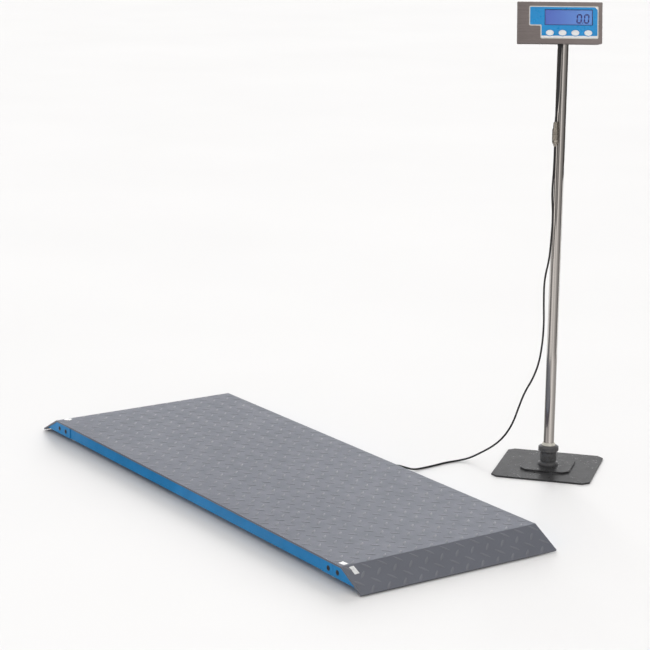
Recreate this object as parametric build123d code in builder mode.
"""Platform shipping scale: low ramped platform on four load cells, and a stand with an indicator.

Frame: millimetres, +Z up, floor at Z = 0. X runs along the platform, Y across it towards the stand.
The origin is the bottom centre of the whole object's box.
"""

import math
import os

from build123d import *

os.makedirs("parts", exist_ok=True)

# Platform
PLATFORM_LENGTH = 2134
PLATFORM_WIDTH = 762
DECK_HEIGHT = 64
DECK_THICKNESS = 6
RAMP_RUN = 108.5
TOE_HEIGHT = 7
RAIL_BOTTOM = 18
RAIL_WALL = 4
RAIL_FLANGE = 30
RAIL_INSET = 5
RAIL_GAP = 0.2
BEND_R = 8
BEND_INNER_R = 2
CORNER_PLATE_THICKNESS = 3
CORNER_PLATE_START = 852
CORNER_PLATE_GAP = 0.4
SCORE_WIDTH = 1.6
SCORE_DEPTH = 1
CORNER_SCREW_X = (886, 936)
CORNER_SCREW_Z = 37
SCREW_HOLE_R = 3.2
SCREW_R = 3
SCREW_HEAD_R = 6.5
SCREW_LENGTH = 12
CROSS_MEMBER_X = (-560, 0, 560)
CROSS_MEMBER_WIDTH = 44
CROSS_MEMBER_BOTTOM = 22
LEAD_HOLE_R = 8

# Load cells and feet, one set in each corner
FOOT_X = 875
FOOT_Y = 329
CELL_BOTTOM = 24
CELL_TOP = 52
CELL_WIDTH = 32
CELL_OUTER = 18
CELL_INNER = 112
CELL_BOLTS = (72, 97)
CELL_PAD_MARGIN = 15
GAUGE_BORE_R = 8
GAUGE_BORE_INWARD = 36
STUD_R = 6
STUD_TOP = 42
STUD_HOLE_DEPTH = 22
STUD_CLEARANCE = 0.2
BOLT_CLEARANCE = 0.3
BOLT_HEAD_R = 10
BOLT_HEAD_HEIGHT = 7.5
NUT_R = 10.4
NUT_HEIGHT = 6.5
PAD_R = 25
PAD_HEIGHT = 12
PAD_SOCKET = 5

# Junction box and cable exit
BOX_X = 124
BOX_LENGTH = 110
BOX_DEPTH = 78
BOX_BOTTOM = 26
BOX_TOP = 53
BOX_WALL = 2.5
BOX_GAP = 0.3
BOX_CORNER_R = 5
BOX_INNER_R = 3
LID_LIP_GAP = 0.6
SUMMING_BOARD = (88, 50)
SUMMING_BOARD_DROP = 10
BOARD_THICKNESS = 1.6
TERMINAL = (14, 8)
TERMINAL_PITCH = (17, 34)
TERMINAL_HEIGHT = 8
GLAND_HOLE_R = 6.3
GLAND_LENGTH = 18
LEAD_R = 2.2
LEAD_Z = 38
LEAD_BEND_R = 25
LEAD_ENTRY = 30

# Stand
POLE_X = 339
POLE_FROM_PLATFORM = 955
BASE_SIDE = 355.6
BASE_THICKNESS = 6
BASE_TURN = 39.9
SOCKET_PLATE_SIDE = 178
CORNER_CUT = 22
EDGE_BREAK = 0.8
SOCKET_BORE_GAP = 0.3
SOCKET_FLOOR = 16
POLE_R = 19.05
POLE_WALL = 1.5
POLE_BOTTOM = 16.3
POLE_TOP = 1560
HEAD_R = 22
HEAD_OVERLAP = 18
HEAD_HEIGHT = 30
TONGUE_R = 13
TONGUE_HALF = 12
TILT_BOLT_R = 4
TILT_BOLT_GAP = 0.02
TILT_BOLT_LENGTH = 45
TILT_BOLT_HEAD_R = 7.5
TILT_BOLT_HEAD_HEIGHT = 5

# Indicator: faces a reader standing off the platform's near ramp, tilted back
FACING = 56
TILT_BACK = 13.3
PIVOT_Z = 1600
HOUSING_WIDTH = 292
HOUSING_HEIGHT = 143
REAR_WIDTH = 280
REAR_HEIGHT = 131
HOUSING_REAR = 33
HOUSING_FRONT = 97
HOUSING_CENTRE = (-25.5, -8)
SHEET = 1.5
HOUSING_CORNER_R = 3
HOUSING_EDGE_R = 1.4
LIP_WIDTH = 14
GASKET_WIDTH = 13
GASKET_INSET = 1.5
REAR_STACK = 3
COVER_SCREW_INSET = 8
YOKE_PLATE = 2.5
YOKE_SIZE = (70, 56)
EAR_INNER = 12.4
EAR_THICKNESS = 3
EAR_HOLE_R = 4.12
EAR_OUTSIDE = 15.8
KNOB_R = 15
KNOB_DEPTH = 16
KNOB_BORE_R = 4.1
KNOB_BORE_DEPTH = 13.6
KNOB_HOLLOWS = 6
KNOB_HOLLOW_R = 4.5
KNOB_HOLLOW_REACH = 17
YOKE_SCREWS = ((27, 20), (-27, 20), (27, -20), (-27, -20))
HOUSING_SCREW_R = 2
HOUSING_SCREW_HEAD_R = 3.8
HOUSING_SCREW_HEAD = 2
HOUSING_SCREW_LENGTH = 9
HOUSING_SCREW_GAP = 0.2
OVERLAY_THICKNESS = 0.8
OVERLAY_SIDES = (-105, 132.3)
OVERLAY_ENDS = (-54.3, 56.9)
OVERLAY_STEP = (-65.7, -10.4)
OVERLAY_CORNER_R = 5
WINDOW_CENTRE = (30.5, 18.6)
WINDOW_SIZE = (162, 51.5)
WINDOW_RECESS = 0.3
DISPLAY_MARGIN = (12, 8)
DISPLAY_THICKNESS = 9
DISPLAY_GAP = 0.4
KEY_X = (-33.7, 9.7, 53.5, 97.6)
KEY_Y = -34.4
KEY_SIZE = (27, 19)
KEY_PROUD = 1.0
KEY_GAP = 0.4
KEY_INSIDE = 4
KEY_EDGE_R = 0.8
STEM_R = 3
STEM_START = 18
SWITCH_START = 19
SWITCH_SIDE = 8
MAIN_BOARD = (210, 112)
MAIN_BOARD_CENTRE = (23, -2)
MAIN_BOARD_START = 24
BOARD_CORNERS = ((-76, 50), (123, 50), (-76, -52.5), (123, -52.5))
BOARD_HOLE_R = 1.7
STANDOFF_R = 3.4
CHIP_HEIGHT = 3
BATTERY = (80, 70, 22)
BATTERY_X = -85

# Cable and its inline connector
CABLE_R = 3.5
CONNECTOR_U = -19
CONNECTOR_N = 25
CONNECTOR_BOTTOM = 1179
CONNECTOR_TOP = 1266
GLAND_U = -17
GLAND_DEPTH = 49
INDICATOR_GLAND_LENGTH = 20.7

# Derived places
turn = math.radians(BASE_TURN)
base_reach = (BASE_SIDE / 2 - CORNER_CUT) * math.sin(turn) + BASE_SIDE / 2 * math.cos(turn)
platform_y = PLATFORM_WIDTH / 2 - (PLATFORM_WIDTH / 2 + POLE_FROM_PLATFORM + base_reach) / 2
pole_y = platform_y + POLE_FROM_PLATFORM
half_length = PLATFORM_LENGTH / 2
half_width = PLATFORM_WIDTH / 2
deck_under = DECK_HEIGHT - DECK_THICKNESS
bend_x = half_length - RAMP_RUN
slope = math.atan2(DECK_HEIGHT - TOE_HEIGHT, RAMP_RUN)
rail_face = half_width - RAIL_INSET
rail_web = rail_face - RAIL_WALL
rail_lip = rail_face - RAIL_FLANGE
facing = math.radians(FACING)
across = Vector(math.cos(facing), math.sin(facing), 0)
toward = Vector(math.sin(facing), -math.cos(facing), 0)
pivot = Vector(POLE_X, pole_y, PIVOT_Z)

# Planes
stand_floor = Plane(origin=(POLE_X, pole_y, 0), x_dir=(math.cos(turn), math.sin(turn), 0))
mast = Plane(origin=(POLE_X, pole_y, 0), x_dir=across)
connector_axis = Plane(mast.origin + across * CONNECTOR_U + toward * CONNECTOR_N, x_dir=across)
tilt = math.radians(TILT_BACK)
panel = Plane(pivot, x_dir=across, z_dir=toward * math.cos(tilt) + Vector(0, 0, math.sin(tilt)))
pivot_side = Plane(pivot, x_dir=toward, z_dir=-across)
yoke_side = Plane(pivot, x_dir=panel.z_dir, z_dir=-across)
housing = panel.shift_origin(panel.from_local_coords(Vector(*HOUSING_CENTRE, 0)))
shell_depth = HOUSING_FRONT - HOUSING_REAR - REAR_STACK
taper = math.atan2((HOUSING_HEIGHT - REAR_HEIGHT) / 2, shell_depth)
gland_y = HOUSING_CENTRE[1] - HOUSING_HEIGHT / 2 + (HOUSING_FRONT - GLAND_DEPTH) * math.tan(taper)
gland_plane = Plane(
    panel.from_local_coords(Vector(GLAND_U, gland_y, GLAND_DEPTH)),
    x_dir=panel.x_dir,
    z_dir=-panel.y_dir * math.cos(taper) - panel.z_dir * math.sin(taper),
)


def keep(piece, node):
    """Labels a finished piece and writes its STEP file."""
    piece.part.label = node
    export_step(piece.part, f"parts/{node}.step")


def ramp_cut(side, gap):
    """Plane under the ramp on one end (side is +1 or -1), facing up and out."""
    under_bend = bend_x - DECK_THICKNESS * math.tan(slope / 2)
    normal = (side * math.sin(slope), 0, math.cos(slope))
    return Plane((side * under_bend, 0, deck_under - gap), x_dir=(0, 1, 0), z_dir=normal)


def side_plane(side, distance):
    """Upright plane along the platform, at a distance from its centre line, facing out."""
    y = platform_y + side * distance
    return Plane((0, y, 0), x_dir=(-side, 0, 0), z_dir=(0, side, 0))


def revolved(axis_plane, outline):
    """Turned piece: the outline is (radius, height) points about the axis plane's own Z."""
    upright = Plane(axis_plane.origin, x_dir=axis_plane.x_dir, z_dir=-axis_plane.y_dir)
    with BuildPart() as piece:
        with BuildSketch(upright):
            with BuildLine():
                Polyline(*outline, close=True)
            make_face()
        revolve(axis=Axis(axis_plane.origin, axis_plane.z_dir))
    return piece


# ---------------------------------------------------------------- platform


def make_deck():
    """One plate bent down at both ends into the ramps."""
    thickness_x = DECK_THICKNESS * math.sin(slope)
    thickness_z = DECK_THICKNESS * math.cos(slope)
    under_bend = bend_x - DECK_THICKNESS * math.tan(slope / 2)
    right = [
        (bend_x, DECK_HEIGHT),
        (half_length, TOE_HEIGHT),
        (half_length - thickness_x, TOE_HEIGHT - thickness_z),
        (under_bend, deck_under),
    ]
    left = [(-x, z) for x, z in reversed(right)]
    far_edge = platform_y + half_width
    with BuildPart() as deck:
        with BuildSketch(Plane.XZ.offset(-far_edge)) as profile:
            with BuildLine():
                Polyline(*right, *left, close=True)
            make_face()
            fillet(profile.vertices().group_by(Axis.Y)[-2], radius=BEND_INNER_R)
            fillet(profile.vertices().group_by(Axis.Y)[-1], radius=BEND_R)
        extrude(amount=PLATFORM_WIDTH)
    keep(deck, "deck_plate")


def make_rail(side, node):
    """Channel along one long side, open towards the middle, its ends cut to the ramps' slope."""
    y_web = platform_y + side * (rail_face - RAIL_WALL / 2)
    y_flange = platform_y + side * (rail_face - RAIL_FLANGE / 2)
    height = deck_under - RAIL_BOTTOM
    with BuildPart() as rail:
        with BuildSketch(Plane.YZ.offset(-half_length)):
            with Locations((y_web, RAIL_BOTTOM + height / 2)):
                Rectangle(RAIL_WALL, height)
            with Locations(
                (y_flange, RAIL_BOTTOM + RAIL_WALL / 2), (y_flange, deck_under - RAIL_WALL / 2)
            ):
                Rectangle(RAIL_FLANGE, RAIL_WALL)
        extrude(amount=PLATFORM_LENGTH)
        split(bisect_by=ramp_cut(1, RAIL_GAP), keep=Keep.BOTTOM)
        split(bisect_by=ramp_cut(-1, RAIL_GAP), keep=Keep.BOTTOM)
        with BuildSketch(side_plane(side, rail_face)):
            with Locations(*[(sx * x, CORNER_SCREW_Z) for sx in (-1, 1) for x in CORNER_SCREW_X]):
                Circle(SCREW_HOLE_R)
        extrude(amount=-RAIL_WALL, mode=Mode.SUBTRACT)
        if side > 0:
            with BuildSketch(side_plane(side, rail_face)):
                with Locations((-side * BOX_X, LEAD_Z)):
                    Circle(GLAND_HOLE_R)
            extrude(amount=-RAIL_WALL, mode=Mode.SUBTRACT)
    keep(rail, node)


def make_cross_member(x, node):
    """Channel across the deck's underside, open downwards, with holes for the load cell leads."""
    height = deck_under - CROSS_MEMBER_BOTTOM
    with BuildPart() as member:
        with BuildSketch(Plane.XZ.offset(-(platform_y + rail_lip))):
            with Locations((x, deck_under - height / 2)):
                Rectangle(CROSS_MEMBER_WIDTH, height)
            with Locations((x, deck_under - height / 2 - RAIL_WALL)):
                Rectangle(CROSS_MEMBER_WIDTH - 2 * RAIL_WALL, height, mode=Mode.SUBTRACT)
        extrude(amount=2 * rail_lip)
        with BuildSketch(Plane.YZ.offset(x - CROSS_MEMBER_WIDTH)):
            with Locations((platform_y - FOOT_Y, LEAD_Z), (platform_y + FOOT_Y, LEAD_Z)):
                Circle(LEAD_HOLE_R)
        extrude(amount=2 * CROSS_MEMBER_WIDTH, mode=Mode.SUBTRACT)
    keep(member, node)


def make_corner_plate(end, side, node):
    """Doubler on the rail's end, following the ramp, with two screw holes and a scored joint line."""
    middle = (CORNER_PLATE_START + half_length) / 2
    height = deck_under - CORNER_PLATE_GAP - RAIL_BOTTOM
    with BuildPart() as plate:
        with BuildSketch(side_plane(side, rail_face)):
            with Locations((-side * end * middle, RAIL_BOTTOM + height / 2)):
                Rectangle(half_length - CORNER_PLATE_START, height)
        extrude(amount=CORNER_PLATE_THICKNESS)
        split(bisect_by=ramp_cut(end, CORNER_PLATE_GAP), keep=Keep.BOTTOM)
        with BuildSketch(side_plane(side, rail_face)):
            with Locations(*[(-side * end * x, CORNER_SCREW_Z) for x in CORNER_SCREW_X]):
                Circle(SCREW_HOLE_R)
        extrude(amount=CORNER_PLATE_THICKNESS, mode=Mode.SUBTRACT)
        with BuildSketch(side_plane(side, rail_face + CORNER_PLATE_THICKNESS - SCORE_DEPTH)):
            with Locations((-side * end * sum(CORNER_SCREW_X) / 2, RAIL_BOTTOM + height / 2)):
                Rectangle(SCORE_WIDTH, height)
        extrude(amount=SCORE_DEPTH, mode=Mode.SUBTRACT)
    keep(plate, node)


def make_corner_screws():
    """Eight pan-head screws through the corner plates and rails."""
    with BuildPart() as screws:
        for side in (-1, 1):
            spots = [(sx * x, CORNER_SCREW_Z) for sx in (-1, 1) for x in CORNER_SCREW_X]
            face = rail_face + CORNER_PLATE_THICKNESS
            with BuildSketch(side_plane(side, face)):
                with Locations(*spots):
                    Circle(SCREW_HEAD_R)
            extrude(amount=half_width - face)
            with BuildSketch(side_plane(side, face)):
                with Locations(*spots):
                    Circle(SCREW_R)
            extrude(amount=-SCREW_LENGTH)
    keep(screws, "corner_screws")


def corner_places():
    """Yields (number, end, side) for the four corners."""
    corners = [(-1, -1), (1, -1), (-1, 1), (1, 1)]
    for number, (end, side) in enumerate(corners, start=1):
        yield number, end, side


def make_load_cell(number, end, side):
    """Shear beam bolted under the deck at its inner end; the foot screws into its outer end."""
    y = platform_y + side * FOOT_Y
    length = CELL_OUTER + CELL_INNER
    pad_length = CELL_INNER - CELL_BOLTS[0] + CELL_PAD_MARGIN
    with BuildPart() as cell:
        with BuildSketch(Plane.XY.offset(CELL_BOTTOM)):
            with Locations((end * (FOOT_X - (CELL_INNER - CELL_OUTER) / 2), y)):
                Rectangle(length, CELL_WIDTH)
        extrude(amount=CELL_TOP - CELL_BOTTOM)
        with BuildSketch(Plane.XY.offset(CELL_TOP)):
            with Locations((end * (FOOT_X - CELL_INNER + pad_length / 2), y)):
                Rectangle(pad_length, CELL_WIDTH)
        extrude(amount=deck_under - CELL_TOP)
        with BuildSketch(Plane.XY.offset(CELL_BOTTOM)):
            with Locations((end * FOOT_X, y)):
                Circle(STUD_R + STUD_CLEARANCE)
        extrude(amount=STUD_HOLE_DEPTH, mode=Mode.SUBTRACT)
        with BuildSketch(Plane.XY.offset(CELL_BOTTOM)):
            with Locations(*[(end * (FOOT_X - inward), y) for inward in CELL_BOLTS]):
                Circle(STUD_R + BOLT_CLEARANCE)
        extrude(amount=deck_under - CELL_BOTTOM, mode=Mode.SUBTRACT)
        with BuildSketch(Plane.XZ.offset(-(y + CELL_WIDTH / 2))):
            with Locations((end * (FOOT_X - GAUGE_BORE_INWARD), (CELL_BOTTOM + CELL_TOP) / 2)):
                Circle(GAUGE_BORE_R)
        extrude(amount=CELL_WIDTH, mode=Mode.SUBTRACT)
    keep(cell, f"load_cell_{number}")


def make_load_cell_bolts():
    """Two hex-head bolts up through each load cell's inner end."""
    with BuildPart() as bolts:
        spots = [
            (end * (FOOT_X - inward), platform_y + side * FOOT_Y)
            for _, end, side in corner_places()
            for inward in CELL_BOLTS
        ]
        with BuildSketch(Plane.XY.offset(CELL_BOTTOM)):
            with Locations(*spots):
                RegularPolygon(BOLT_HEAD_R, 6)
        extrude(amount=-BOLT_HEAD_HEIGHT)
        with BuildSketch(Plane.XY.offset(CELL_BOTTOM)):
            with Locations(*spots):
                Circle(STUD_R)
        extrude(amount=deck_under - CELL_BOTTOM - STUD_CLEARANCE)
    keep(bolts, "load_cell_bolts")


def make_jam_nuts():
    """Nuts that lock the feet against the load cells."""
    with BuildPart() as nuts:
        with BuildSketch(Plane.XY.offset(CELL_BOTTOM - NUT_HEIGHT)):
            for _, end, side in corner_places():
                with Locations((end * FOOT_X, platform_y + side * FOOT_Y)):
                    RegularPolygon(NUT_R, 6)
                    Circle(STUD_R + BOLT_CLEARANCE, mode=Mode.SUBTRACT)
        extrude(amount=NUT_HEIGHT)
    keep(nuts, "jam_nuts")


def make_foot(number, end, side):
    """Levelling foot: a round pad with a recess, and its threaded stud."""
    place = Plane((end * FOOT_X, platform_y + side * FOOT_Y, 0))
    pad = revolved(
        place,
        [(0, 0), (PAD_R, 0), (PAD_R, 5), (PAD_R - 5, PAD_HEIGHT - 2), (9, PAD_HEIGHT)]
        + [(STUD_R, PAD_HEIGHT), (STUD_R, PAD_HEIGHT - PAD_SOCKET), (0, PAD_HEIGHT - PAD_SOCKET)],
    )
    keep(pad, f"foot_pad_{number}")
    stud = revolved(
        place,
        [(0, PAD_HEIGHT - PAD_SOCKET), (STUD_R, PAD_HEIGHT - PAD_SOCKET), (STUD_R, STUD_TOP - 1)]
        + [(STUD_R - 1.2, STUD_TOP), (0, STUD_TOP)],
    )
    keep(stud, f"foot_stud_{number}")


def make_junction_box():
    """Summing box behind the far rail, with a lid on its underside."""
    y = platform_y + rail_web - BOX_GAP - BOX_DEPTH / 2
    inner = (BOX_LENGTH - 2 * BOX_WALL, BOX_DEPTH - 2 * BOX_WALL)
    with BuildPart() as box:
        with BuildSketch(Plane.XY.offset(BOX_BOTTOM)):
            with Locations((BOX_X, y)):
                RectangleRounded(BOX_LENGTH, BOX_DEPTH, BOX_CORNER_R)
        extrude(amount=BOX_TOP - BOX_BOTTOM)
        with BuildSketch(Plane.XY.offset(BOX_BOTTOM)):
            with Locations((BOX_X, y)):
                RectangleRounded(*inner, BOX_INNER_R)
        extrude(amount=BOX_TOP - BOX_BOTTOM - BOX_WALL, mode=Mode.SUBTRACT)
        with BuildSketch(side_plane(1, rail_web)):
            with Locations((-BOX_X, LEAD_Z)):
                Circle(GLAND_HOLE_R)
        extrude(amount=-2 * BOX_WALL, mode=Mode.SUBTRACT)
    keep(box, "junction_box")
    with BuildPart() as lid:
        with BuildSketch(Plane.XY.offset(BOX_BOTTOM - BOX_WALL)):
            with Locations((BOX_X, y)):
                RectangleRounded(BOX_LENGTH, BOX_DEPTH, BOX_CORNER_R)
        extrude(amount=BOX_WALL)
        with BuildSketch(Plane.XY.offset(BOX_BOTTOM)) as lip:
            with Locations((BOX_X, y)):
                RectangleRounded(inner[0] - LID_LIP_GAP, inner[1] - LID_LIP_GAP, BOX_INNER_R)
            offset(lip.sketch, amount=-BOX_WALL, mode=Mode.SUBTRACT)
        extrude(amount=BOX_WALL)
    keep(lid, "junction_box_lid")
    with BuildPart() as board:
        with BuildSketch(Plane.XY.offset(BOX_TOP - SUMMING_BOARD_DROP)):
            with Locations((BOX_X, y)):
                Rectangle(*SUMMING_BOARD)
        extrude(amount=BOARD_THICKNESS)
        with BuildSketch(Plane.XY.offset(BOX_TOP - SUMMING_BOARD_DROP)):
            with Locations((BOX_X, y)):
                with GridLocations(*TERMINAL_PITCH, 5, 2):
                    Rectangle(*TERMINAL)
        extrude(amount=-TERMINAL_HEIGHT)
    keep(board, "summing_board")


def make_leads():
    """Load cell leads, clipped along the frame from each cell's inner end to the junction box."""
    inner = FOOT_X - CELL_INNER
    far = platform_y + FOOT_Y
    near = platform_y - FOOT_Y
    box_near = platform_y + rail_web - BOX_GAP - BOX_DEPTH
    routes = [
        [(inner, far), (BOX_X + BOX_LENGTH / 2, far)],
        [(-inner, far), (BOX_X - BOX_LENGTH / 2, far)],
        [(inner, near), (BOX_X + LEAD_ENTRY, near), (BOX_X + LEAD_ENTRY, box_near)],
        [(-inner, near), (BOX_X - LEAD_ENTRY, near), (BOX_X - LEAD_ENTRY, box_near)],
    ]
    with BuildPart() as leads:
        for route in routes:
            points = [(x, y, LEAD_Z) for x, y in route]
            with BuildLine() as path:
                if len(points) == 2:
                    Line(*points)
                else:
                    FilletPolyline(*points, radius=LEAD_BEND_R)
            with BuildSketch(Plane(points[0], z_dir=path.line % 0)):
                Circle(LEAD_R)
            sweep(path=path.line)
    keep(leads, "load_cell_leads")


def make_platform_gland():
    """Cable gland through the far rail into the junction box, with a tapered strain relief."""
    place = Plane((BOX_X, platform_y + rail_face, LEAD_Z), x_dir=(1, 0, 0), z_dir=(0, 1, 0))
    gland = revolved(
        place,
        [(0, -9.5), (6, -9.5), (6, 0), (10, 0), (10, 6), (8.5, 7), (8.5, 11), (6.5, 14)]
        + [(5.2, GLAND_LENGTH), (0, GLAND_LENGTH)],
    )
    keep(gland, "platform_gland")


# ---------------------------------------------------------------- stand


def make_base():
    """Floor plate and the smaller socket plate welded on it, both with cut corners."""
    with BuildPart() as base:
        with BuildSketch(stand_floor) as outline:
            Rectangle(BASE_SIDE, BASE_SIDE)
            chamfer(outline.vertices(), CORNER_CUT)
        extrude(amount=BASE_THICKNESS)
        chamfer(base.faces().sort_by(Axis.Z)[-1].edges(), EDGE_BREAK)
    keep(base, "base_plate")
    with BuildPart() as plate:
        with BuildSketch(stand_floor.offset(BASE_THICKNESS)) as outline:
            Rectangle(SOCKET_PLATE_SIDE, SOCKET_PLATE_SIDE)
            chamfer(outline.vertices(), CORNER_CUT)
        extrude(amount=BASE_THICKNESS)
        chamfer(plate.faces().sort_by(Axis.Z)[-1].edges(), EDGE_BREAK)
    keep(plate, "socket_plate")


def make_socket():
    """Flanged socket with a threaded top, the collar nut on it and the light ring on the pole."""
    bore = POLE_R + SOCKET_BORE_GAP
    socket = revolved(
        mast,
        [(0, 12), (35.5, 12), (35.5, 19), (33.5, 21.5), (28.5, 22.5), (28.5, 26), (30.2, 28.5)]
        + [(30.2, 59.6), (26, 59.6), (26, 80), (bore, 80), (bore, SOCKET_FLOOR), (0, SOCKET_FLOOR)],
    )
    keep(socket, "pole_socket")
    nut = revolved(
        mast,
        [(26.3, 60), (30.5, 60), (31.5, 61), (31.5, 63), (36.8, 64.4), (36.8, 78), (35.5, 80), (28, 84.2)]
        + [(19.5, 84.2), (19.5, 80.4), (26.3, 80.4)],
    )
    keep(nut, "collar_nut")
    ring = revolved(
        mast,
        [(POLE_R, 84.6), (24.3, 84.6), (24.3, 87), (22.5, 91.5), (20.8, 94.6), (POLE_R, 94.6)],
    )
    keep(ring, "pole_ring")


def make_pole():
    """Stainless tube and the head pressed over its top, which carries the tilt tongue."""
    inner = POLE_R - POLE_WALL
    pole = revolved(
        mast,
        [(inner, POLE_BOTTOM), (POLE_R, POLE_BOTTOM), (POLE_R, POLE_TOP), (inner, POLE_TOP)],
    )
    keep(pole, "pole")
    tongue_drop = PIVOT_Z - POLE_TOP
    with BuildPart() as head:
        with BuildSketch(mast.offset(POLE_TOP - HEAD_OVERLAP)):
            Circle(HEAD_R)
        extrude(amount=HEAD_HEIGHT)
        chamfer(head.faces().sort_by(Axis.Z)[-1].edges(), 2)
        with BuildSketch(pivot_side):
            Circle(TONGUE_R)
            with Locations((0, -tongue_drop / 2)):
                Rectangle(2 * TONGUE_R, tongue_drop)
        extrude(amount=TONGUE_HALF, both=True)
        with BuildSketch(mast.offset(POLE_TOP - HEAD_OVERLAP)):
            Circle(POLE_R)
        extrude(amount=HEAD_OVERLAP, mode=Mode.SUBTRACT)
        with BuildSketch(pivot_side):
            Circle(TILT_BOLT_R + TILT_BOLT_GAP)
        extrude(amount=TONGUE_HALF, both=True, mode=Mode.SUBTRACT)
    keep(head, "pole_head")


# ---------------------------------------------------------------- tilt joint


def make_tilt_yoke():
    """Bracket on the housing's back: a plate with two ears either side of the pole head's tongue."""
    foot = HOUSING_REAR - YOKE_PLATE
    with BuildPart() as yoke:
        with BuildSketch(panel.offset(foot)):
            RectangleRounded(*YOKE_SIZE, 4)
            with Locations(*YOKE_SCREWS):
                Circle(HOUSING_SCREW_R + HOUSING_SCREW_GAP, mode=Mode.SUBTRACT)
        extrude(amount=YOKE_PLATE)
        for side in (-1, 1):
            start = EAR_INNER if side > 0 else -EAR_INNER - EAR_THICKNESS
            with BuildSketch(yoke_side.offset(start)):
                Circle(TONGUE_R)
                with Locations((foot / 2, 0)):
                    Rectangle(foot, 2 * TONGUE_R)
                Circle(EAR_HOLE_R, mode=Mode.SUBTRACT)
            extrude(amount=EAR_THICKNESS)
    keep(yoke, "tilt_yoke")


def make_tilt_bolt_and_knob():
    """Pivot bolt held in the tongue, and the six-lobed clamp knob on its end."""
    with BuildPart() as bolt:
        with BuildSketch(pivot_side.offset(EAR_OUTSIDE)):
            RegularPolygon(TILT_BOLT_HEAD_R, 6)
        extrude(amount=TILT_BOLT_HEAD_HEIGHT)
        with BuildSketch(pivot_side.offset(EAR_OUTSIDE)):
            Circle(TILT_BOLT_R)
        extrude(amount=-TILT_BOLT_LENGTH)
    keep(bolt, "tilt_bolt")
    with BuildPart() as knob:
        with BuildSketch(pivot_side.offset(-EAR_OUTSIDE)) as lobes:
            Circle(KNOB_R)
            with PolarLocations(KNOB_HOLLOW_REACH, KNOB_HOLLOWS):
                Circle(KNOB_HOLLOW_R, mode=Mode.SUBTRACT)
            fillet(lobes.vertices(), 1.2)
        extrude(amount=-KNOB_DEPTH)
        chamfer(knob.faces().sort_by(Axis(pivot, -across))[0].edges(), 1.2)
        with BuildSketch(pivot_side.offset(-EAR_OUTSIDE)):
            Circle(KNOB_BORE_R)
        extrude(amount=-KNOB_BORE_DEPTH, mode=Mode.SUBTRACT)
    keep(knob, "tilt_knob")


# ---------------------------------------------------------------- indicator


def key_spots():
    """Key centres in the panel's own coordinates, from the housing's centre."""
    return [(x, KEY_Y) for x in KEY_X]


def overlay_outline():
    """L-shaped panel outline, from the housing's centre."""
    left, right = OVERLAY_SIDES
    low, high = OVERLAY_ENDS
    step_x, step_y = OVERLAY_STEP
    return [(left, high), (right, high), (right, low), (step_x, low), OVERLAY_STEP, (left, step_y)]


def make_housing_shell():
    """Sheet box whose sides taper to the rear, with a lip there for the cover and gasket."""
    rear = housing.offset(HOUSING_REAR + REAR_STACK)
    front = housing.offset(HOUSING_FRONT)
    with BuildPart() as shell:
        with BuildSketch(rear):
            RectangleRounded(REAR_WIDTH, REAR_HEIGHT, HOUSING_CORNER_R)
        with BuildSketch(front):
            RectangleRounded(HOUSING_WIDTH, HOUSING_HEIGHT, HOUSING_CORNER_R)
        loft()
        fillet(shell.faces().sort_by(Axis(panel.origin, panel.z_dir))[-1].edges(), HOUSING_EDGE_R)
        with BuildSketch(rear.offset(SHEET)):
            inside_rear = (REAR_WIDTH - 2 * SHEET, REAR_HEIGHT - 2 * SHEET)
            RectangleRounded(*inside_rear, HOUSING_CORNER_R - SHEET)
        with BuildSketch(front.offset(-SHEET)):
            inside_front = (HOUSING_WIDTH - 2 * SHEET, HOUSING_HEIGHT - 2 * SHEET)
            RectangleRounded(*inside_front, HOUSING_CORNER_R - SHEET)
        loft(mode=Mode.SUBTRACT)
        with BuildSketch(rear):
            opening = (REAR_WIDTH - 2 * LIP_WIDTH, REAR_HEIGHT - 2 * LIP_WIDTH)
            RectangleRounded(*opening, HOUSING_CORNER_R)
        extrude(amount=SHEET, mode=Mode.SUBTRACT)
        with BuildSketch(front):
            with Locations(WINDOW_CENTRE):
                Rectangle(*WINDOW_SIZE)
            with Locations(*key_spots()):
                Ellipse(KEY_SIZE[0] / 2 + KEY_GAP, KEY_SIZE[1] / 2 + KEY_GAP)
        extrude(amount=-SHEET, mode=Mode.SUBTRACT)
        with BuildSketch(rear):
            with Locations(*cover_screw_spots()):
                Circle(HOUSING_SCREW_R + HOUSING_SCREW_GAP)
        extrude(amount=SHEET, mode=Mode.SUBTRACT)
        with BuildSketch(gland_plane):
            Circle(GLAND_HOLE_R)
        extrude(amount=2 * SHEET, both=True, mode=Mode.SUBTRACT)
    keep(shell, "housing_shell")


def cover_screw_spots():
    """Six screw places round the rear cover, from the housing's centre."""
    x = REAR_WIDTH / 2 - COVER_SCREW_INSET
    y = REAR_HEIGHT / 2 - COVER_SCREW_INSET
    return [(sx * x, sy * y) for sx in (-1, 0, 1) for sy in (-1, 1)]


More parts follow.
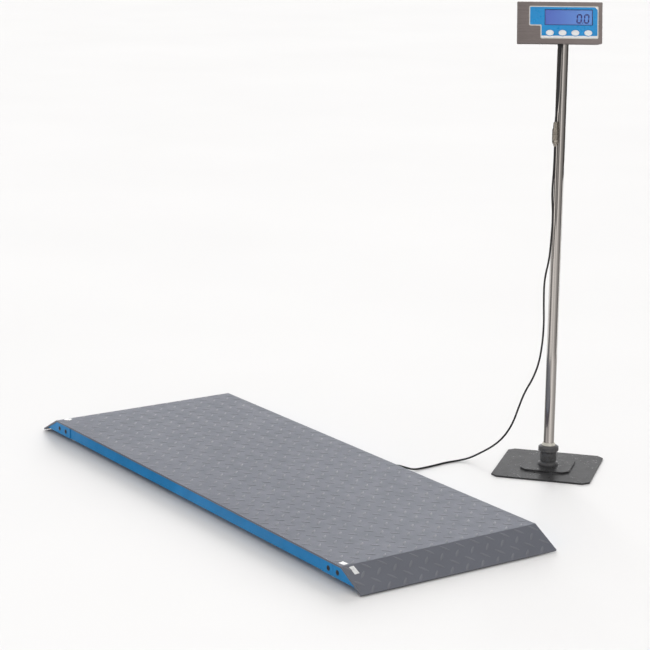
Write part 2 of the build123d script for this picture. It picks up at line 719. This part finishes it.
def make_rear():
    """Flat rear cover, its gasket and its screws."""
    with BuildPart() as gasket:
        with BuildSketch(housing.offset(HOUSING_REAR + SHEET)):
            outer = (REAR_WIDTH - 2 * GASKET_INSET, REAR_HEIGHT - 2 * GASKET_INSET)
            RectangleRounded(*outer, HOUSING_CORNER_R)
            inner = (REAR_WIDTH - 2 * GASKET_WIDTH, REAR_HEIGHT - 2 * GASKET_WIDTH)
            RectangleRounded(*inner, HOUSING_CORNER_R, mode=Mode.SUBTRACT)
            with Locations(*cover_screw_spots()):
                Circle(HOUSING_SCREW_R + HOUSING_SCREW_GAP, mode=Mode.SUBTRACT)
        extrude(amount=REAR_STACK - SHEET)
    keep(gasket, "rear_gasket")
    with BuildPart() as cover:
        with BuildSketch(housing.offset(HOUSING_REAR)):
            RectangleRounded(REAR_WIDTH, REAR_HEIGHT, HOUSING_CORNER_R)
            with Locations(*cover_screw_spots()):
                Circle(HOUSING_SCREW_R + HOUSING_SCREW_GAP, mode=Mode.SUBTRACT)
        extrude(amount=SHEET)
        with BuildSketch(panel.offset(HOUSING_REAR)):
            with Locations(*YOKE_SCREWS):
                Circle(HOUSING_SCREW_R + HOUSING_SCREW_GAP)
        extrude(amount=SHEET, mode=Mode.SUBTRACT)
    keep(cover, "rear_cover")
    seats = [
        (housing.offset(HOUSING_REAR), cover_screw_spots()),
        (panel.offset(HOUSING_REAR - YOKE_PLATE), YOKE_SCREWS),
    ]
    with BuildPart() as screws:
        for seat, spots in seats:
            with BuildSketch(seat):
                with Locations(*spots):
                    Circle(HOUSING_SCREW_HEAD_R)
            extrude(amount=-HOUSING_SCREW_HEAD)
            with BuildSketch(seat):
                with Locations(*spots):
                    Circle(HOUSING_SCREW_R)
            extrude(amount=HOUSING_SCREW_LENGTH)
    keep(screws, "housing_screws")


def make_front():
    """Overlay panel, clear display window and the display module behind it."""
    with BuildPart() as overlay:
        with BuildSketch(housing.offset(HOUSING_FRONT)) as sheet:
            with BuildLine():
                Polyline(*overlay_outline(), close=True)
            make_face()
            fillet(sheet.vertices(), OVERLAY_CORNER_R)
            with Locations(WINDOW_CENTRE):
                Rectangle(*WINDOW_SIZE, mode=Mode.SUBTRACT)
            with Locations(*key_spots()):
                Ellipse(KEY_SIZE[0] / 2 + KEY_GAP, KEY_SIZE[1] / 2 + KEY_GAP, mode=Mode.SUBTRACT)
        extrude(amount=OVERLAY_THICKNESS)
    keep(overlay, "front_overlay")
    with BuildPart() as window:
        with BuildSketch(housing.offset(HOUSING_FRONT - SHEET)):
            with Locations(WINDOW_CENTRE):
                Rectangle(*WINDOW_SIZE)
        extrude(amount=SHEET + OVERLAY_THICKNESS - WINDOW_RECESS)
    keep(window, "display_window")
    with BuildPart() as display:
        with BuildSketch(housing.offset(HOUSING_FRONT - SHEET - DISPLAY_GAP - DISPLAY_THICKNESS)):
            with Locations(WINDOW_CENTRE):
                Rectangle(WINDOW_SIZE[0] + DISPLAY_MARGIN[0], WINDOW_SIZE[1] + DISPLAY_MARGIN[1])
        extrude(amount=DISPLAY_THICKNESS)
    keep(display, "display_module")


def make_boards():
    """Main board with the key switches, its standoffs, and the battery pack."""
    board_z = HOUSING_FRONT - MAIN_BOARD_START
    board_face = board_z + BOARD_THICKNESS
    with BuildPart() as board:
        with BuildSketch(housing.offset(board_z)):
            with Locations(MAIN_BOARD_CENTRE):
                Rectangle(*MAIN_BOARD)
            with Locations(*BOARD_CORNERS):
                Circle(BOARD_HOLE_R, mode=Mode.SUBTRACT)
        extrude(amount=BOARD_THICKNESS)
        with BuildSketch(housing.offset(board_face)):
            with Locations(*key_spots()):
                Rectangle(SWITCH_SIDE, SWITCH_SIDE)
        extrude(amount=HOUSING_FRONT - SWITCH_START - board_face)
        with BuildSketch(housing.offset(board_z)):
            with Locations((0, 10)):
                Rectangle(26, 26)
            with Locations((60, 10), (60, -20)):
                Rectangle(14, 10)
        extrude(amount=-CHIP_HEIGHT)
    keep(board, "main_board")
    with BuildPart() as standoffs:
        with BuildSketch(housing.offset(board_face)):
            with Locations(*BOARD_CORNERS):
                RegularPolygon(STANDOFF_R, 6)
        extrude(amount=HOUSING_FRONT - SHEET - board_face)
    keep(standoffs, "board_standoffs")
    with BuildPart() as battery:
        with BuildSketch(housing.offset(HOUSING_REAR + REAR_STACK + SHEET)):
            with Locations((BATTERY_X, 0)):
                RectangleRounded(BATTERY[0], BATTERY[1], 3)
        extrude(amount=BATTERY[2])
    keep(battery, "battery_pack")


def make_keys():
    """Four oval keys; each stem stops just above its switch."""
    for number, spot in enumerate(key_spots(), start=1):
        with BuildPart() as key:
            with BuildSketch(housing.offset(HOUSING_FRONT - KEY_INSIDE)):
                with Locations(spot):
                    Ellipse(KEY_SIZE[0] / 2, KEY_SIZE[1] / 2)
            extrude(amount=KEY_INSIDE + OVERLAY_THICKNESS + KEY_PROUD)
            fillet(key.faces().sort_by(Axis(panel.origin, panel.z_dir))[-1].edges(), KEY_EDGE_R)
            with BuildSketch(housing.offset(HOUSING_FRONT - STEM_START)):
                with Locations(spot):
                    Circle(STEM_R)
            extrude(amount=STEM_START - KEY_INSIDE)
        keep(key, f"key_{number}")


def make_indicator_gland():
    """Cable gland on the housing's underside, with a tapered strain relief."""
    length = INDICATOR_GLAND_LENGTH
    gland = revolved(
        gland_plane,
        [(0, -8), (6, -8), (6, 0), (9, 0), (9, 5), (7.5, 6), (7.5, 9), (5.2, length), (0, length)],
    )
    keep(gland, "indicator_gland")


# ---------------------------------------------------------------- cable


def make_connector():
    """Inline connector: plug below, socket above, and the ring that couples them."""
    low = CONNECTOR_BOTTOM
    high = CONNECTOR_TOP
    plug = revolved(
        connector_axis,
        [(0, low), (5.5, low), (6.5, low + 6), (10.5, low + 16), (10.5, low + 24), (8.2, low + 24)]
        + [(8.2, low + 38), (0, low + 38)],
    )
    keep(plug, "connector_plug")
    ring = revolved(
        connector_axis,
        [(8.4, low + 24.4), (11, low + 24.4), (11.5, low + 25), (11.5, low + 43), (11, low + 43.6)]
        + [(9.9, low + 43.6), (9.9, low + 38.4), (8.4, low + 38.4)],
    )
    keep(ring, "connector_ring")
    socket = revolved(
        connector_axis,
        [(0, low + 38.4), (9.6, low + 38.4), (9.6, low + 44), (11, low + 44), (11, low + 60)]
        + [(8.5, low + 63), (8.5, high - 4), (6, high), (0, high)],
    )
    keep(socket, "connector_socket")


def stand_point(u, n, z):
    """Point given across the indicator's view (u), towards its reader (n) and up (z)."""
    return mast.origin + across * u + toward * n + Vector(0, 0, z)


def gland_mouth(below):
    """Point on the indicator gland's axis, below its mouth."""
    return gland_plane.origin + gland_plane.z_dir * (INDICATOR_GLAND_LENGTH + below)


def lower_route():
    """Along the floor from the platform to the pole, then up beside it to the connector."""
    exit_y = platform_y + rail_face + GLAND_LENGTH
    on_floor = CABLE_R + 0.2
    return [
        Vector(BOX_X, exit_y, LEAD_Z),
        Vector(BOX_X, exit_y + 34, LEAD_Z),
        Vector(123, exit_y + 74, 22),
        Vector(119, exit_y + 116, on_floor + 1),
        Vector(117, exit_y + 170, on_floor),
        Vector(112, exit_y + 225, on_floor),
        Vector(106, exit_y + 279, on_floor),
        stand_point(-329, -53, on_floor),
        stand_point(-285, -68, on_floor + 5),
        stand_point(-240, -62, 33),
        stand_point(-192, -46, 67),
        stand_point(-157, -30, 108),
        stand_point(-130, -15, 162),
        stand_point(-112, -4, 226),
        stand_point(-93, 4, 284),
        stand_point(-66, 12, 336),
        stand_point(-47, 18, 396),
        stand_point(-38, 22, 466),
        stand_point(-35, 25, 542),
        stand_point(-39, 27, 622),
        stand_point(-40, 27.5, 702),
        stand_point(-24, 28, 780),
        stand_point(-20, 29, 858),
        stand_point(-17, 29.5, 934),
        stand_point(-24, 28, 1014),
        stand_point(-19, 25.5, 1097),
        stand_point(CONNECTOR_U, CONNECTOR_N, CONNECTOR_BOTTOM - 0.6),
    ]


def upper_route():
    """From the connector's top to the gland under the indicator."""
    return [
        stand_point(CONNECTOR_U, CONNECTOR_N, CONNECTOR_TOP),
        stand_point(CONNECTOR_U, CONNECTOR_N, CONNECTOR_TOP + 19),
        stand_point(-16.5, 29, 1309),
        stand_point(-15.5, 43, 1354),
        stand_point(-16.5, 59, 1402),
        stand_point(-17.5, 69, 1448),
        gland_mouth(36),
        gland_mouth(0.4),
    ]


def make_cable(route, node):
    """Round cable along straight runs joined by the largest arcs that the runs allow."""
    radii = []
    for before, corner, after in zip(route, route[1:], route[2:]):
        run_in = corner - before
        run_out = after - corner
        half_turn = math.radians(run_in.get_angle(run_out)) / 2
        radii.append(0.45 * min(run_in.length, run_out.length) / math.tan(half_turn))
    with BuildPart() as cable:
        with BuildLine() as path:
            FilletPolyline(*route, radius=radii)
        with BuildSketch(Plane(route[0], z_dir=route[1] - route[0])):
            Circle(CABLE_R)
        sweep(path=path.line)
    length = sum(edge.length for edge in path.edges())
    expected = math.pi * CABLE_R**2 * length
    print(node, "radii", [round(r) for r in radii])
    print(node, "length", round(length), "volume ratio", round(cable.part.volume / expected, 4))
    keep(cable, node)


make_deck()
make_rail(-1, "near_rail")
make_rail(1, "far_rail")
for index, member_x in enumerate(CROSS_MEMBER_X, start=1):
    make_cross_member(member_x, f"cross_member_{index}")
for corner_number, corner_end, corner_side in corner_places():
    make_corner_plate(corner_end, corner_side, f"corner_plate_{corner_number}")
    make_load_cell(corner_number, corner_end, corner_side)
    make_foot(corner_number, corner_end, corner_side)
make_corner_screws()
make_load_cell_bolts()
make_jam_nuts()
make_junction_box()
make_leads()
make_platform_gland()
make_base()
make_socket()
make_pole()
make_tilt_yoke()
make_tilt_bolt_and_knob()
make_housing_shell()
make_rear()
make_front()
make_boards()
make_keys()
make_indicator_gland()
make_connector()
make_cable(lower_route(), "lower_cable")
make_cable(upper_route(), "upper_cable")
